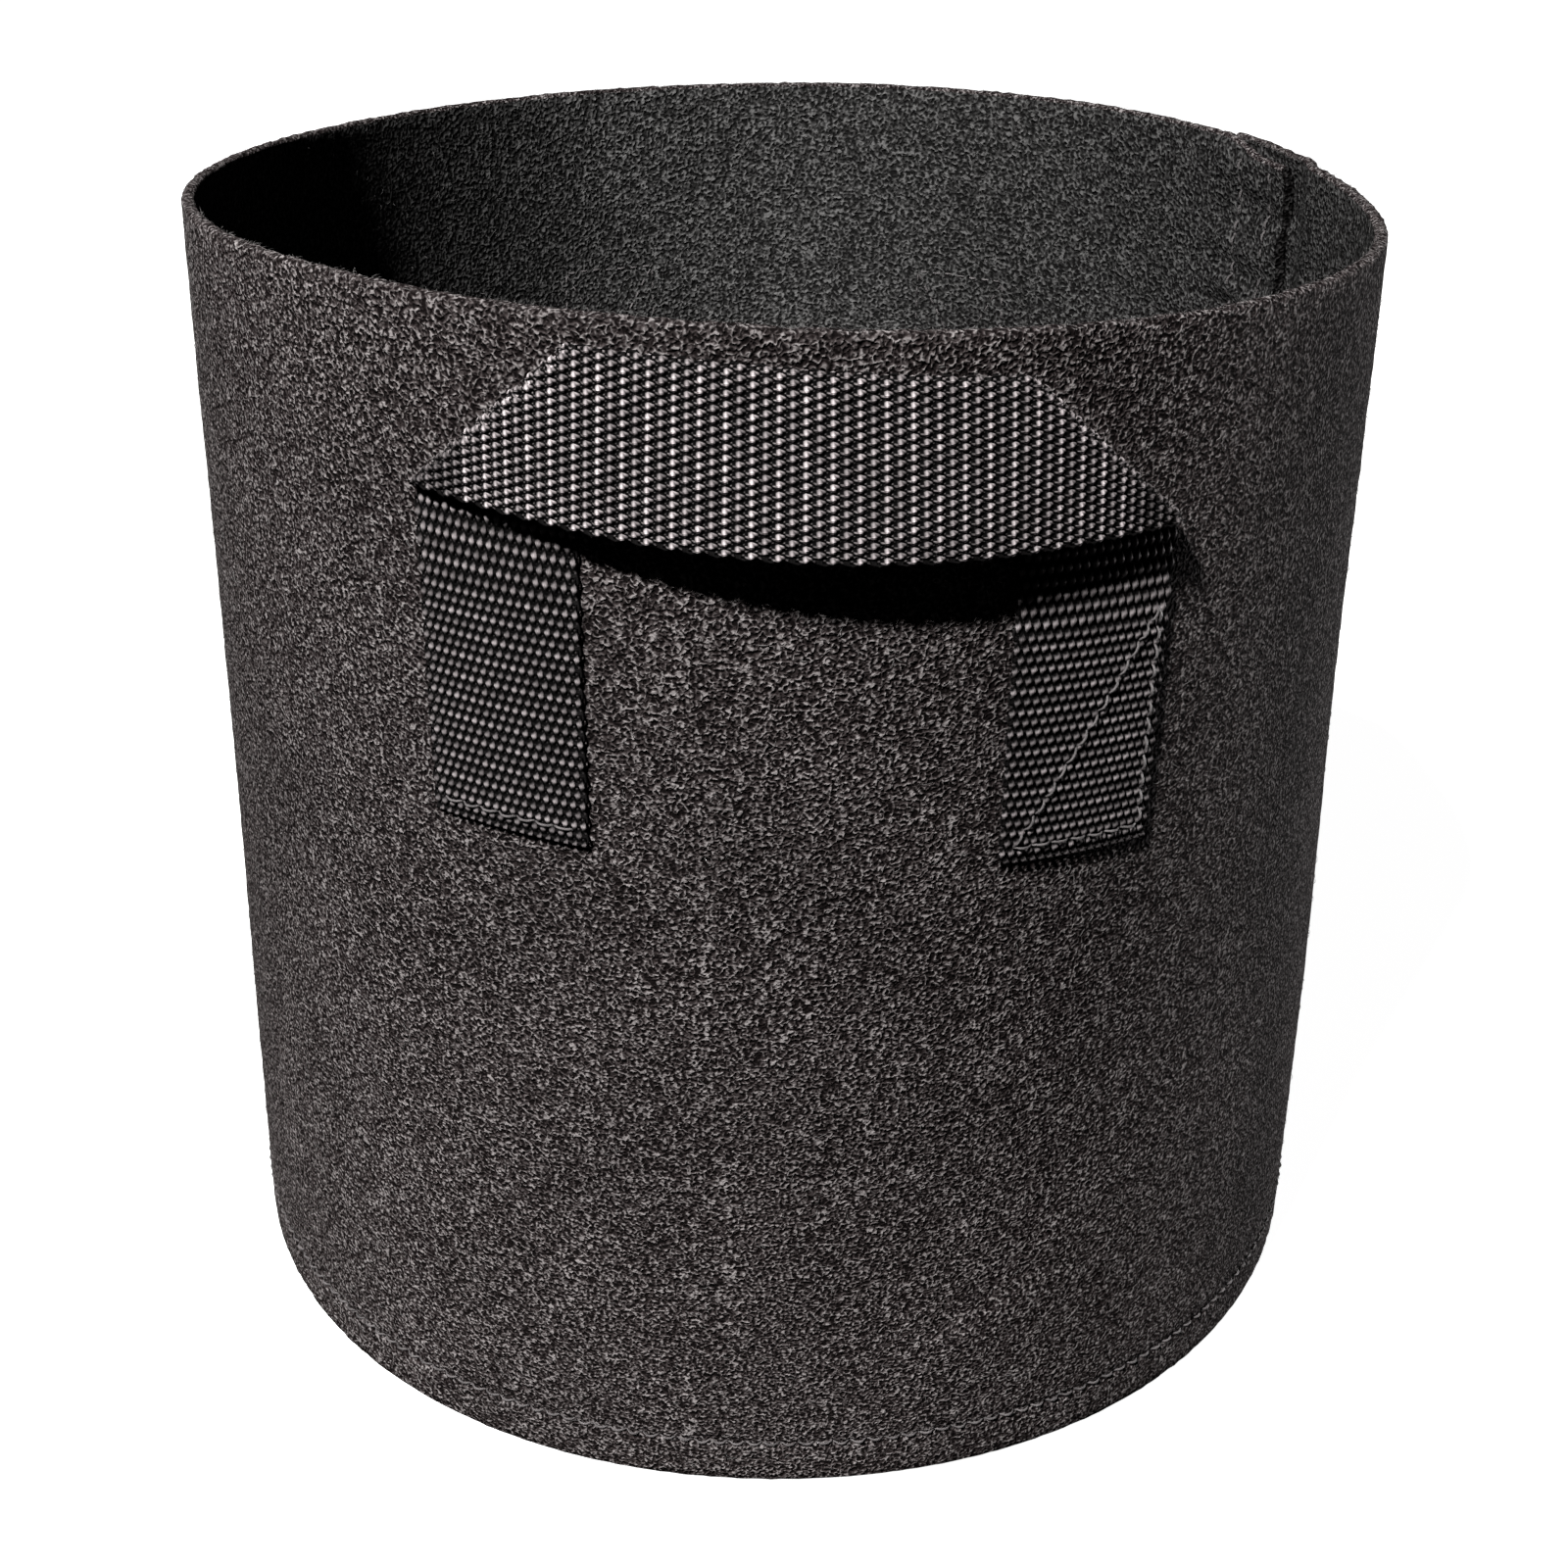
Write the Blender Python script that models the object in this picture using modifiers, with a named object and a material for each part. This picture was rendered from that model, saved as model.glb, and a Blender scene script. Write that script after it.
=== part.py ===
"""A round fabric grow bag: a felt wall wrapped into a cylinder and lapped at one side seam, a felt
base with its edge turned up inside the wall, and two webbing handles folded square at their corners.

Units are metres, +Z is up and the origin is on the floor under the bag's middle. An azimuth is an
angle round the bag: 0 is the front (-Y), and it grows towards the bag's own right (+X).
"""

import math

import bmesh
import bpy

# Bag
BAG_HEIGHT = 0.285
RIM_RADIUS = 0.150  # outer radius at the rim, on average
RIM_OVAL = 0.0367  # the rim is this share deeper front to back, and this share narrower side to side
BASE_RADIUS = 0.1552  # outer radius at the floor
WALL_BOTTOM = 0.0002  # the wall's cut edge is level with the base's underside, to within this
FELT = 0.003
GAP = 0.0003  # between pieces that touch on the real bag

# Side seam: the wall's outer end laps over its inner end
LAP_INNER_END = math.radians(108)
LAP_OUTER_END = math.radians(121)
LAP_RAMP = math.radians(7)  # the outer end climbs over the inner one along this much of the wall
LAP_RISE = FELT + 0.0004
SIDE_SEAM_ROWS = (math.radians(111.5), math.radians(117.5))

# Base
FLANGE_HEIGHT = 0.018
FLANGE_LEAN = 0.0008  # the flange leans in by this much, as the wall does
BASE_CORNER = 0.002
BASE_SEAM_HEIGHT = 0.0125

# Handles, one at the front and one at the back
WEBBING_WIDTH = 0.0365
WEBBING = 0.0015
HANDLE_RADIUS = 0.1546  # the wall's radius where the handles are, for lengths measured along it
TAB_ARC = 0.0606  # from the handle's middle to the middle of a sewn end, along the wall
TAB_BOTTOM = 0.1750
TAB_TOP = 0.2305
LEG_BOTTOM = 0.2365
FOLD_RADIUS = 0.0011  # of the webbing's middle, round the folded edge
GRIP_MIDDLE = 0.2603  # height of the grip's centreline
GRIP_BOW = 0.006  # how far the grip's lower edge stands off the wall at its middle
HINGE_HEIGHT = 0.2345
HINGE_FORWARD = 0.1470

# Thread
THREAD = 0.0009
BOX_MARGIN = 0.003  # from the webbing's long edges to the stitched box
BOX_BOTTOM = 0.1785
BOX_TOP = 0.2290

FELT_COLOUR = (0.030, 0.029, 0.031, 1.0)
WEBBING_COLOUR = (0.022, 0.021, 0.023, 1.0)
THREAD_COLOUR = (0.060, 0.058, 0.060, 1.0)


def clear_scene():
    for old in list(bpy.data.objects):
        bpy.data.objects.remove(old, do_unlink=True)


def material(name, colour, roughness):
    made = bpy.data.materials.new(name)
    made.use_nodes = True
    shader = made.node_tree.nodes["Principled BSDF"]
    shader.inputs["Base Color"].default_value = colour
    shader.inputs["Roughness"].default_value = roughness
    shader.inputs["Metallic"].default_value = 0.0
    return made


def smoothstep(low, high, value):
    t = min(1.0, max(0.0, (value - low) / (high - low)))
    return t * t * (3 - 2 * t)


def wall_radius(azimuth, z):
    """The wall's outer radius: a circle at the floor that becomes a slight oval at the rim."""
    rim = RIM_RADIUS * (1 + RIM_OVAL * math.cos(2 * azimuth))
    return BASE_RADIUS + (rim - BASE_RADIUS) * z / BAG_HEIGHT


def on_wall(azimuth, z, outward):
    """A point that far outside the wall's outer face."""
    r = wall_radius(azimuth, z) + outward
    return (r * math.sin(azimuth), -r * math.cos(azimuth), z)


def add_object(name, data, collection, paint):
    made = bpy.data.objects.new(name, data)
    collection.objects.link(made)
    data.materials.append(paint)
    return made


def bent_sheet(name, columns, rows, place, thickness, offset, collection, paint):
    """A flat grid whose points place(across, up) moves into shape, thickened by Solidify."""
    grid = bmesh.new()
    bmesh.ops.create_grid(grid, x_segments=columns, y_segments=rows, size=0.5)
    for vertex in grid.verts:
        vertex.co = place(vertex.co.x + 0.5, vertex.co.y + 0.5)
    mesh = bpy.data.meshes.new(name)
    grid.to_mesh(mesh)
    grid.free()
    made = add_object(name, mesh, collection, paint)
    solidify = made.modifiers.new("Thickness", "SOLIDIFY")
    solidify.thickness = thickness
    solidify.offset = offset
    mesh.shade_smooth()
    mesh.set_sharp_from_angle(angle=math.radians(40))
    return made


def thread_curve(name, points, cyclic, radius=THREAD / 2):
    curve = bpy.data.curves.new(name, "CURVE")
    curve.dimensions = "3D"
    curve.bevel_depth = radius
    curve.bevel_resolution = 0
    curve.use_fill_caps = True
    line = curve.splines.new("POLY")
    line.points.add(len(points) - 1)
    for control, point in zip(line.points, points):
        control.co = (*point, 1.0)
    line.use_cyclic_u = cyclic
    return curve


def wall_panel(collection, paint):
    """One rectangle of felt, wrapped once round with its outer end lapped over its inner end."""
    turn = 2 * math.pi + LAP_OUTER_END - LAP_INNER_END
    climb = 2 * math.pi + LAP_INNER_END - LAP_RAMP

    def place(along, up):
        azimuth = LAP_INNER_END + along * turn
        rise = LAP_RISE * smoothstep(climb, climb + LAP_RAMP * 0.85, azimuth)
        return on_wall(azimuth, WALL_BOTTOM + up * (BAG_HEIGHT - WALL_BOTTOM), rise)

    return bent_sheet("wall_panel", 124, 1, place, FELT, -1, collection, paint)


def base_panel(collection, paint):
    """A round of felt whose edge is turned up inside the wall, as a turned profile."""
    outer = BASE_RADIUS - FELT - GAP
    lean = outer - FLANGE_LEAN
    profile = [
        (0.0, FELT),
        (outer - FELT - BASE_CORNER, FELT),
        (outer - FELT, FELT + BASE_CORNER),
        (lean - FELT, FLANGE_HEIGHT),
        (lean, FLANGE_HEIGHT),
        (outer, BASE_CORNER),
        (outer - BASE_CORNER, 0.0),
        (0.0, 0.0),
    ]
    mesh = bpy.data.meshes.new("base_panel")
    points = [(r, 0.0, z) for r, z in profile]
    edges = [(i, i + 1) for i in range(len(points) - 1)]
    mesh.from_pydata(points, edges, [])
    made = add_object("base_panel", mesh, collection, paint)
    screw = made.modifiers.new("Turn", "SCREW")
    screw.axis = "Z"
    screw.steps = 80
    screw.render_steps = 80
    screw.use_merge_vertices = True
    screw.merge_threshold = 0.00001
    screw.use_normal_flip = False
    return made


def seam_threads(collection, paint):
    """The needle thread outside and the bobbin thread inside, for the base seam and the side seam."""
    stand_off = GAP + THREAD / 2
    steps = 120
    hold = LAP_OUTER_END + math.radians(2.2)
    outside, inside = [], []
    flange_inner = BASE_RADIUS - 2 * FELT - GAP - FLANGE_LEAN - stand_off
    for i in range(steps):
        azimuth = 2 * math.pi * i / steps
        climbed = smoothstep(LAP_INNER_END - LAP_RAMP, LAP_INNER_END, azimuth + math.radians(1.0))
        let_down = smoothstep(hold, hold + math.radians(3.5), azimuth)
        outside.append(
            on_wall(azimuth, BASE_SEAM_HEIGHT, LAP_RISE * climbed * (1 - let_down) + stand_off)
        )
        inside.append(
            (flange_inner * math.sin(azimuth), -flange_inner * math.cos(azimuth), BASE_SEAM_HEIGHT)
        )
    for name, ring in (("outside", outside), ("inside", inside)):
        name = "base_seam_thread_" + name
        add_object(name, thread_curve(name, ring, True), collection, paint)
    for row, azimuth in enumerate(SIDE_SEAM_ROWS, start=1):
        for side, outward, low in (
            ("outside", LAP_RISE + stand_off, BASE_SEAM_HEIGHT + 2 * THREAD),
            ("inside", -FELT - stand_off, FLANGE_HEIGHT + 2 * THREAD),
        ):
            name = f"side_seam_thread_{side}_{row}"
            ends = [on_wall(azimuth, z, outward) for z in (low, BAG_HEIGHT - 2 * THREAD)]
            add_object(name, thread_curve(name, ends, False), collection, paint)


def on_handle(along, z, outward, facing):
    """A point on the wall, that far along it from the handle's middle. Facing is 1 at the front."""
    x, y, z = on_wall(along / HANDLE_RADIUS, z, outward)
    return (facing * x, facing * y, z)


def handle_tab(name, side, facing, collection, paint):
    """The sewn end of the strap, flat against the wall."""

    def place(across, up):
        along = side * TAB_ARC + (across - 0.5) * WEBBING_WIDTH
        return on_handle(along, TAB_BOTTOM + up * (TAB_TOP - TAB_BOTTOM), GAP, facing)

    return bent_sheet(name, 8, 1, place, WEBBING, 1, collection, paint)


def grip_stations():
    """Lines across half of the grip's strap, as (distance of the line's middle, slant).

    They start square at the leg's end, slant to 45 degrees round the fold and come back to square at
    the grip's middle."""
    fold = GRIP_MIDDLE - math.pi * FOLD_RADIUS / math.sqrt(2) - LEG_BOTTOM
    turned = fold + math.sqrt(2) * math.pi * FOLD_RADIUS
    middle = turned + TAB_ARC - math.pi * FOLD_RADIUS / math.sqrt(2)
    stations = [(fold * i / 4, i / 4) for i in range(4)]
    stations += [(fold + (turned - fold) * i / 6, 1.0) for i in range(6)]
    stations += [(turned + (middle - turned) * i / 8, 1 - i / 8) for i in range(9)]
    return stations, fold


def fold_over(run, across, fold):
    """Where a point of the flat strap goes when the strap folds: along, height and depth.

    The strap rises as a leg, turns over the 45 degree fold line and runs on level, in front."""
    past = (run - fold - across) / math.sqrt(2)
    beside = (run - fold + across) / math.sqrt(2)
    arc = math.pi * FOLD_RADIUS
    if past <= 0:
        out, depth = past, 0.0
    elif past < arc:
        out, depth = FOLD_RADIUS * math.sin(past / FOLD_RADIUS), FOLD_RADIUS * (
            1 - math.cos(past / FOLD_RADIUS)
        )
    else:
        out, depth = arc - past, 2 * FOLD_RADIUS
    return (beside - out) / math.sqrt(2), (beside + out) / math.sqrt(2), depth


def handle_grip(name, facing, hinge, collection, paint):
    """The strap between its sewn ends: two short legs, two folded corners and the grip itself."""
    half, fold = grip_stations()
    lines = [(run, slant, -1) for run, slant in half]
    lines += [(run, slant, 1) for run, slant in reversed(half[:-1])]
    fold_height = LEG_BOTTOM + fold
    reach = TAB_ARC + WEBBING_WIDTH / 2

    def place(column, up):
        run, slant, side = lines[round(column * (len(lines) - 1))]
        across = (0.5 - up) * WEBBING_WIDTH
        along, height, depth = fold_over(run + slant * across, across, fold)
        along = side * (TAB_ARC - along)
        z = fold_height + height
        share = depth / (2 * FOLD_RADIUS)
        hang = (GRIP_MIDDLE + WEBBING_WIDTH / 2 - z) / WEBBING_WIDTH
        bow = GRIP_BOW * math.cos(math.pi / 2 * min(1.0, abs(along) / reach)) ** 2 * hang * share
        x, y, z = on_handle(along, z, GAP + WEBBING / 2 + depth + bow, facing)
        return (x - hinge.location.x, y - hinge.location.y, z - hinge.location.z)

    made = bent_sheet(name, len(lines) - 1, 6, place, WEBBING, 0, collection, paint)
    made.parent = hinge
    return made


def to_mesh(curve, name):
    """A curve's solid as an object of its own, with its caps welded."""
    maker = bpy.data.objects.new(name, curve)
    bpy.context.scene.collection.objects.link(maker)
    bpy.context.view_layer.update()
    solid = maker.evaluated_get(bpy.context.evaluated_depsgraph_get())
    mesh = bpy.data.meshes.new_from_object(solid)
    bpy.data.objects.remove(maker)
    welded = bmesh.new()
    welded.from_mesh(mesh)
    bmesh.ops.remove_doubles(welded, verts=welded.verts, dist=0.000001)
    welded.to_mesh(mesh)
    welded.free()
    made = bpy.data.objects.new(name, mesh)
    bpy.context.scene.collection.objects.link(made)
    return made


def box_thread(name, side, facing, outward, collection, paint):
    """The stitched box and its two diagonals that hold one end of a strap, as one body."""
    reach = WEBBING_WIDTH / 2 - BOX_MARGIN

    def at(across, z):
        return on_handle(side * TAB_ARC + across * reach, z, outward, facing)

    steps = 4
    bottom = [at(-1 + 2 * i / steps, BOX_BOTTOM) for i in range(steps + 1)]
    top = [at(1 - 2 * i / steps, BOX_TOP) for i in range(steps + 1)]
    made = to_mesh(thread_curve(name, bottom + top, True), name)
    for lean in (-1, 1):
        slant = [
            at(
                lean * (-1 + 2 * i / steps),
                BOX_BOTTOM + (BOX_TOP - BOX_BOTTOM) * i / steps,
            )
            for i in range(steps + 1)
        ]
        other = to_mesh(thread_curve("slant", slant, False, THREAD * 0.46), "slant")
        union = made.modifiers.new("Join", "BOOLEAN")
        union.operation = "UNION"
        union.object = other
        bpy.context.view_layer.update()
        solid = made.evaluated_get(bpy.context.evaluated_depsgraph_get())
        joined = bpy.data.meshes.new_from_object(solid)
        bpy.data.objects.remove(other)
        bpy.data.objects.remove(made)
        made = bpy.data.objects.new(name, joined)
        bpy.context.scene.collection.objects.link(made)
    joined.materials.clear()
    joined.materials.append(paint)
    bpy.context.scene.collection.objects.unlink(made)
    collection.objects.link(made)
    return made


def handle(where, facing, collection, paints):
    """One handle with its hinge line, its two sewn ends and their threads."""
    hinge = bpy.data.objects.new(f"{where}_handle_hinge", None)
    hinge.location = (0.0, -facing * HINGE_FORWARD, HINGE_HEIGHT)
    collection.objects.link(hinge)
    handle_grip(f"{where}_handle_grip", facing, hinge, collection, paints["webbing"])
    for hand, side in (("left", -1), ("right", 1)):
        tab = f"{where}_handle_{hand}_tab"
        handle_tab(tab, side, facing, collection, paints["webbing"])
        above = 2 * GAP + WEBBING + THREAD / 2
        below = -FELT - GAP - THREAD / 2
        box_thread(tab + "_thread_outside", side, facing, above, collection, paints["thread"])
        box_thread(tab + "_thread_inside", side, facing, below, collection, paints["thread"])


def main():
    clear_scene()
    bag = bpy.data.collections.new("fabric_grow_bag")
    bpy.context.scene.collection.children.link(bag)
    paints = {
        "felt": material("felt", FELT_COLOUR, 0.95),
        "webbing": material("webbing", WEBBING_COLOUR, 0.45),
        "thread": material("thread", THREAD_COLOUR, 0.5),
    }
    wall_panel(bag, paints["felt"])
    base_panel(bag, paints["felt"])
    seam_threads(bag, paints["thread"])
    handle("front", 1, bag, paints)
    handle("rear", -1, bag, paints)


main()
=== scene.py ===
import math

import bmesh
import bpy
import numpy as np
from mathutils import Matrix, Vector


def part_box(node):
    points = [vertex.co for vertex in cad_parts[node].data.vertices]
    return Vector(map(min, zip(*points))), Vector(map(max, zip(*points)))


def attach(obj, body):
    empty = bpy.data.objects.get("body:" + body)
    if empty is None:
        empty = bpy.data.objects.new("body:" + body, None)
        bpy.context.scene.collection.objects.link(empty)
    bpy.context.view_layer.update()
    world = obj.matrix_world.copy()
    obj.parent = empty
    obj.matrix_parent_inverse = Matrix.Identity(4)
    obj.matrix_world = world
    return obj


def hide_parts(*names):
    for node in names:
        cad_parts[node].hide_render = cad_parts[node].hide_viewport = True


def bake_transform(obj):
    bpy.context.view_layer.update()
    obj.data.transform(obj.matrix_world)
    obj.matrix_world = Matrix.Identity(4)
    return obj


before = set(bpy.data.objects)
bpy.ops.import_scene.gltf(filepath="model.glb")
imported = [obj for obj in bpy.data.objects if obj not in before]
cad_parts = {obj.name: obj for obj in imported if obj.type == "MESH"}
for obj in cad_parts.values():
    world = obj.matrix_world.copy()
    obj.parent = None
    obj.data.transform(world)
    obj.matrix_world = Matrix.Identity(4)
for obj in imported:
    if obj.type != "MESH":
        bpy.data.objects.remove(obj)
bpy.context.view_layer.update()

# The looks of a round felt grow bag with two webbing handles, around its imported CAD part.
# Metres, +Z up. Azimuth 0 is the front (-Y) and grows towards +X.

rng = np.random.default_rng(20)

wall_low, wall_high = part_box("wall_panel")
grip_low, grip_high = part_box("front_handle_grip")
tab_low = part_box("front_handle_left_tab")[0]

TAU = 2 * math.pi

# The bag's sizes, as in the CAD
BAG_HEIGHT = wall_high.z
BASE_RADIUS = -wall_low.x
RIM_OVAL = 0.0367  # the rim is wider from front to back than from side to side
RIM_RADIUS = -wall_low.y / (1 + RIM_OVAL)
FELT = 0.003  # thickness
GAP = 0.0003  # between pieces that touch
LAP_INNER_END = math.radians(108)  # the wall starts here, wraps once round
LAP_OUTER_END = math.radians(121)  # and ends here, outside its own start
LAP_RAMP = math.radians(7)
LAP_RISE = FELT + 0.0004
SIDE_SEAM_ROWS = (math.radians(111.5), math.radians(117.5))
FLANGE_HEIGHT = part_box("base_panel")[1].z  # the base's turned-up edge
FLANGE_LEAN = 0.0008
BASE_SEAM_HEIGHT = 0.0125
WEBBING_WIDTH = 0.0365
WEBBING = 0.0015  # thickness
HANDLE_RADIUS = 0.1546  # of the wall behind the handles
TAB_ARC = 0.0606  # from the handle's middle to the middle of a sewn end, along the wall
TAB_BOTTOM = tab_low.z
LEG_BOTTOM = grip_low.z
FOLD_RADIUS = 0.0011
GRIP_MIDDLE = grip_high.z - WEBBING_WIDTH / 2
GRIP_BOW = 0.006  # how far the grip's lower edge stands off the wall
BOX_MARGIN = 0.003
BOX_BOTTOM = 0.1785
BOX_TOP = 0.2290

# The sewing
STITCH = 0.0043
STITCHES_ROUND = 228
COLUMN = TAU / STITCHES_ROUND / 2  # two columns of the felt's grid for each stitch
THREAD_HALF = 0.00031
BOX_THREAD_HALF = 0.00027
STITCH_PROUD = 0.00042
STITCH_SINK = 0.0006
BOX_STITCH_PROUD = 0.00034
BOX_STITCH_SUNK = -0.0012  # under the webbing's core
GROOVE_HALF = 0.0013  # half of the width of the groove that a seam presses into the felt


def smoothstep(low, high, value):
    t = np.clip((value - low) / (high - low), 0, 1)
    return t * t * (3 - 2 * t)


# ---------------------------------------------------------------- the shape all pieces share

SEAM_MIDDLE = (LAP_INNER_END + LAP_OUTER_END) / 2
SEAM_LEAN = -0.03  # radians by which the side seam is off plumb at the rim
BASE_SQUARE = 0.0009  # half of how far the soft base stands out between its four sides
# slow waves in the wall: how many round it, their climb, phase and size
WAVES = [
    (m, rng.uniform(-1.2, 1.2), rng.uniform(0, TAU), 0.0007 / m**0.7)
    for m in (2, 3, 4, 5, 6, 7, 9, 11, 13)
]


def settle(points):
    """Moves points from the CAD's plain shape to the bag as it stands, for every piece alike."""
    points = np.array(points, float)
    x, y, z = points[:, 0], points[:, 1], points[:, 2]
    radius = np.hypot(x, y)
    turn = np.arctan2(y, x)
    off_seam = np.angle(np.exp(1j * (turn + math.pi / 2 - SEAM_MIDDLE)))
    lean = SEAM_LEAN * smoothstep(0.65, 1.0, z / BAG_HEIGHT) * np.exp(-((off_seam / 0.3) ** 2))
    near_wall = smoothstep(0.6 * BASE_RADIUS, 0.9 * BASE_RADIUS, radius)
    turn = turn + lean * near_wall
    x, y = radius * np.cos(turn), radius * np.sin(turn)
    azimuth = turn + math.pi / 2
    up = np.clip(z / BAG_HEIGHT, 0, 1.05)
    # the rim's real outline, seen from above, fades to nothing at the foot
    grow = RIM_RADIUS * (
        -0.0092 * np.sin(2 * turn)
        - 0.0021 * np.cos(3 * turn)
        + 0.0010 * np.sin(3 * turn)
        + 0.0024 * np.cos(turn)
        + 0.0009 * np.sin(turn)
    ) * up
    for count, climb, phase, size in WAVES:
        grow += size * smoothstep(0.05, 0.5, up) * np.cos(
            count * azimuth + climb * TAU * up + phase
        )
    grow += BASE_SQUARE * (1 - np.cos(4 * azimuth)) * (1 - smoothstep(0, 0.55, up))
    rightward = np.clip(np.sin(azimuth), 0, 1)
    grow += 0.0009 * np.sin(math.pi * np.clip(up, 0, 1)) * rightward**3
    # the rim's rise and fall
    lift = RIM_RADIUS * (
        -0.010 * np.cos(turn)
        + 0.0009 * np.sin(turn)
        - 0.0052 * np.cos(2 * turn)
        + 0.0082 * np.sin(2 * turn)
    ) * up**3
    lift += 0.0011 * up**3 * np.clip(np.cos(azimuth - math.radians(150)), 0, 1) ** 2
    scale = 1 + grow * near_wall / np.maximum(radius, 1e-6)
    return np.stack([x * scale, y * scale, z + lift * near_wall], axis=1)


def wall_radius(azimuth, z):
    """The radius of the wall's outer face, before the lap."""
    rim = RIM_RADIUS * (1 + RIM_OVAL * np.cos(2 * azimuth))
    return BASE_RADIUS + (rim - BASE_RADIUS) * z / BAG_HEIGHT


def on_wall(azimuth, z, outward):
    """Points at that distance outward of the wall's outer face."""
    r = wall_radius(azimuth, z) + outward
    return np.stack([r * np.sin(azimuth), -r * np.cos(azimuth), z + 0 * r], axis=-1)


def add_mesh(name, points, faces, paint, settled=False):
    """A new object whose faces all have the same number of corners."""
    if not settled:
        points = settle(points)
    mesh = bpy.data.meshes.new(name)
    faces = np.asarray(faces, np.int32)
    mesh.vertices.add(len(points))
    mesh.vertices.foreach_set("co", np.asarray(points, np.float32).ravel())
    sides = faces.shape[1]
    mesh.loops.add(faces.size)
    mesh.loops.foreach_set("vertex_index", faces.ravel())
    mesh.polygons.add(len(faces))
    mesh.polygons.foreach_set("loop_start", np.arange(0, faces.size, sides, dtype=np.int32))
    mesh.update(calc_edges=True)
    mesh.validate()
    mesh.shade_smooth()
    mesh.materials.append(paint)
    made = bpy.data.objects.new(name, mesh)
    bpy.context.scene.collection.objects.link(made)
    return made


# ---------------------------------------------------------------- materials


class Paint:
    """A small builder for node materials."""

    def __init__(self, name):
        self.material = bpy.data.materials.new(name)
        self.material.use_nodes = True
        self.tree = self.material.node_tree
        self.shader = self.tree.nodes["Principled BSDF"]

    def node(self, kind, **settings):
        made = self.tree.nodes.new(kind)
        for key, value in settings.items():
            setattr(made, key, value)
        return made

    def link(self, source, target):
        self.tree.links.new(source, target)

    def noise(self, vector, scale, detail=2.0, roughness=0.5, ridged=False):
        made = self.node("ShaderNodeTexNoise")
        if ridged:
            made.noise_type = "RIDGED_MULTIFRACTAL"
            made.inputs["Offset"].default_value = 0.9
            made.inputs["Gain"].default_value = 1.6
        made.inputs["Scale"].default_value = scale
        made.inputs["Detail"].default_value = detail
        made.inputs["Roughness"].default_value = roughness
        self.link(vector, made.inputs["Vector"])
        return made

    def remap(self, value, low, high, to_low, to_high):
        made = self.node("ShaderNodeMapRange")
        for key, number in zip(
            ("From Min", "From Max", "To Min", "To Max"), (low, high, to_low, to_high)
        ):
            made.inputs[key].default_value = number
        self.link(value, made.inputs["Value"])
        return made.outputs["Result"]

    def math(self, operation, first, second):
        made = self.node("ShaderNodeMath", operation=operation)
        for socket, value in zip(made.inputs, (first, second)):
            if isinstance(value, (int, float)):
                socket.default_value = value
            else:
                self.link(value, socket)
        return made.outputs["Value"]

    def ramp(self, value, stops):
        made = self.node("ShaderNodeValToRGB")
        ramp = made.color_ramp
        while len(ramp.elements) < len(stops):
            ramp.elements.new(0.5)
        for element, (position, colour) in zip(ramp.elements, stops):
            element.position = position
            element.color = (*colour, 1.0)
        self.link(value, made.inputs["Fac"])
        return made.outputs["Color"]

    def mix(self, factor, first, second, kind="MIX"):
        made = self.node("ShaderNodeMix", data_type="RGBA", blend_type=kind)
        made.clamp_factor = made.clamp_result = True
        for index, value in ((0, factor), (6, first), (7, second)):
            if isinstance(value, (int, float)):
                made.inputs[index].default_value = value
            elif isinstance(value, tuple):
                made.inputs[index].default_value = (*value, 1.0)
            else:
                self.link(value, made.inputs[index])
        return made.outputs[2]

    def bump(self, height, distance, after=None):
        made = self.node("ShaderNodeBump")
        made.inputs["Strength"].default_value = 1.0
        made.inputs["Distance"].default_value = distance
        self.link(height, made.inputs["Height"])
        if after is not None:
            self.link(after, made.inputs["Normal"])
        return made.outputs["Normal"]


FIBRE_SCALE, TUFT_SCALE, CLUMP_SCALE, PATCH_SCALE = 880.0, 1100.0, 380.0, 26.0
CURL = 0.0009  # how far the fibres are bent aside
GREY = 0.04  # the albedo that a change of contrast leaves as it is
CLOTH_SPECULAR = 0.04
YARN_SPECULAR = 0.06


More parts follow.
